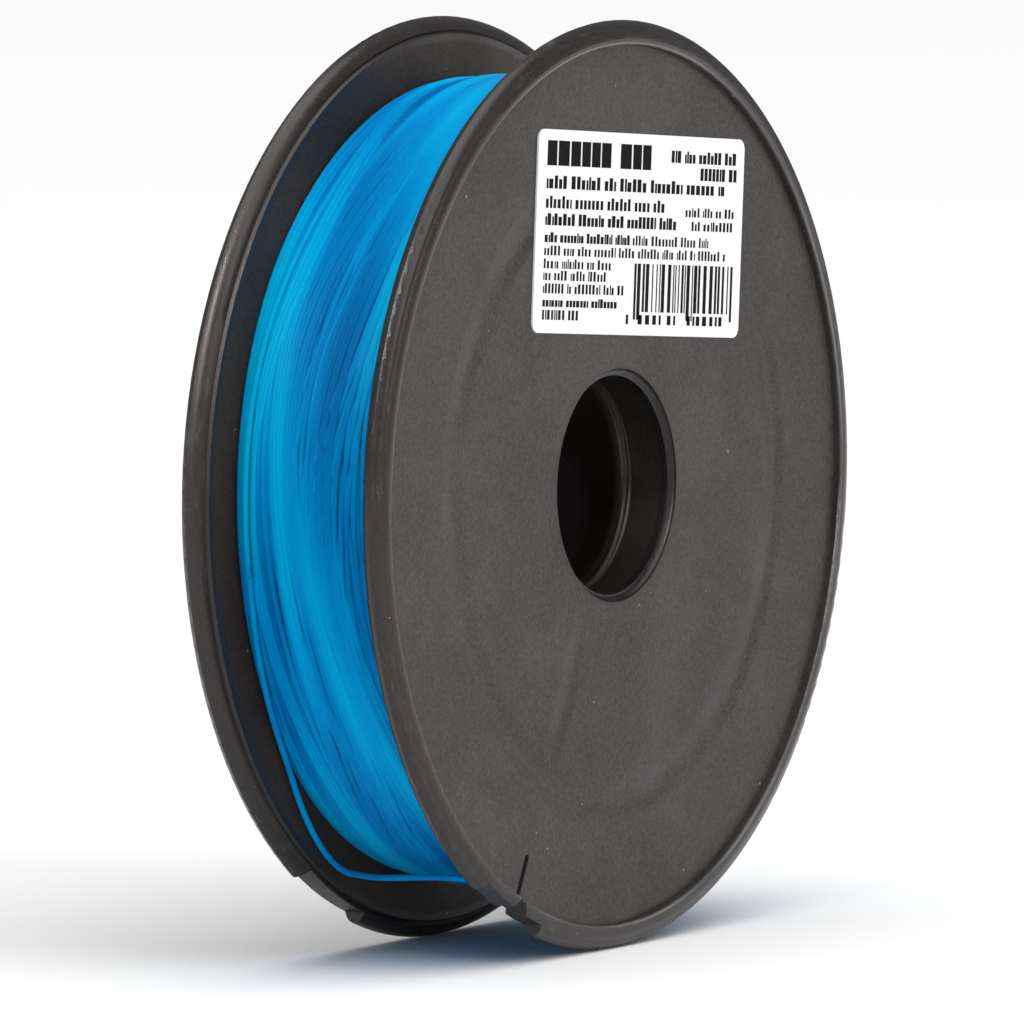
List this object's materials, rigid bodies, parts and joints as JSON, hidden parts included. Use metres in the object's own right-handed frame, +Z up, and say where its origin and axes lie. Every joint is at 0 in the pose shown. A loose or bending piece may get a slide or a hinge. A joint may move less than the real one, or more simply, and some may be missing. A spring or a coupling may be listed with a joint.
{
  "type": "fishing line spool",
  "caption": "Flat two-flange plastic spool wound with nylon fishing line, with a through bore and a line slit in the front rim.",
  "frame": {"origin": "middle of the bore, half way between the two rims", "axes": "+Y along the spool's axis, away from the labelled flange; +Z up with the spool standing on its rims; +X to the right seen from the label"},
  "size_m": [0.06, 0.0152, 0.06],
  "materials": {
    "spool_plastic": "dark warm grey moulded plastic, fine matt texture",
    "nylon_line": "clear blue nylon monofilament, silky gloss",
    "label_paper": "white printed sticker"
  },
  "bodies": {
    "root": {"front_flange": "spool_plastic", "rear_flange": "spool_plastic", "line_winding": "nylon_line", "line_tail": "nylon_line", "front_label": "label_paper"}
  },
  "joints": []
}
